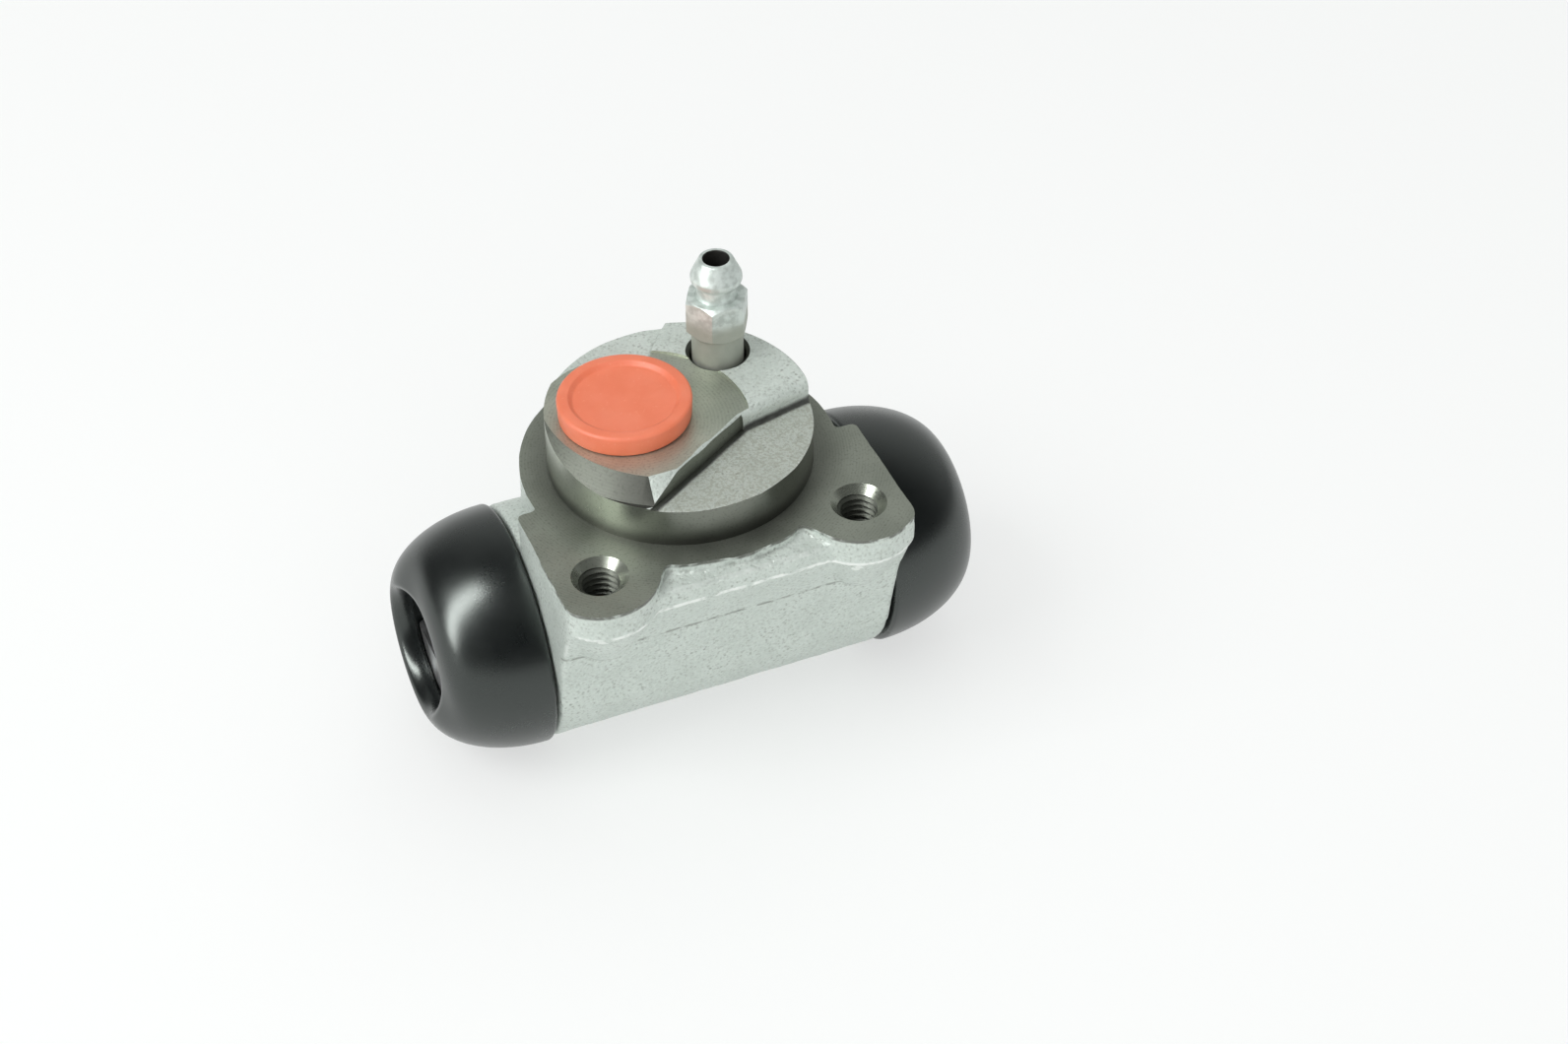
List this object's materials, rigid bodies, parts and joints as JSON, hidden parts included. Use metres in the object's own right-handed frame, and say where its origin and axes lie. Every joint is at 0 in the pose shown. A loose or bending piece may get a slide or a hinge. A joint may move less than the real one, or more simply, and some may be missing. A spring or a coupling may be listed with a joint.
{
  "type": "wheel cylinder",
  "caption": "Drum-brake wheel cylinder: cast body with a spigot flange and tapped ears, opposed pistons under rubber boots, a bleed screw and a plugged fluid port.",
  "frame": {"origin": "on the spigot's axis, at the machined mounting face", "axes": "+Z along the spigot, away from the bore; +X along the bore, from the fluid port's side to the bleed screw's side; -Y towards the mounting ears"},
  "size_m": [0.0822, 0.0492, 0.0653],
  "materials": {
    "casting": "shot-blasted, light coated",
    "piston": "turned",
    "seal_rubber": "matte",
    "pressed_sheet": "passivated",
    "spring_wire": "drawn wire",
    "boot_rubber": "satin",
    "zinc_plate": "bright zinc",
    "plug_plastic": "moulded"
  },
  "bodies": {
    "housing": {"housing": "casting", "left_boot": "boot_rubber", "right_boot": "boot_rubber", "return_spring": "spring_wire"},
    "left_piston": {"left_piston": "piston", "left_cup_seal": "seal_rubber", "left_spring_seat": "pressed_sheet"},
    "right_piston": {"right_piston": "piston", "right_cup_seal": "seal_rubber", "right_spring_seat": "pressed_sheet"},
    "bleed_screw": {"bleed_screw": "zinc_plate"},
    "port_plug": {"port_plug": "plug_plastic"}
  },
  "joints": [
    {"name": "left_piston_slide", "type": "slide", "parent": "housing", "child": "left_piston", "axis": [-1, 0, 0], "range_m": [-0.0015, 0.005], "stiffness_N_per_m": 300, "deforming": ["left_boot", "return_spring"]},
    {"name": "right_piston_slide", "type": "slide", "parent": "housing", "child": "right_piston", "axis": [1, 0, 0], "range_m": [-0.0015, 0.005], "stiffness_N_per_m": 300, "deforming": ["right_boot", "return_spring"]},
    {"name": "bleed_screw_turn", "type": "hinge", "parent": "housing", "child": "bleed_screw", "pos_m": [0.0094, 0.009, 0], "axis": [0, 0, 1], "range_deg": [0, 360]},
    {"name": "port_plug_pull", "type": "slide", "parent": "housing", "child": "port_plug", "axis": [0, 0, 1], "range_m": [0, 0.02]}
  ]
}
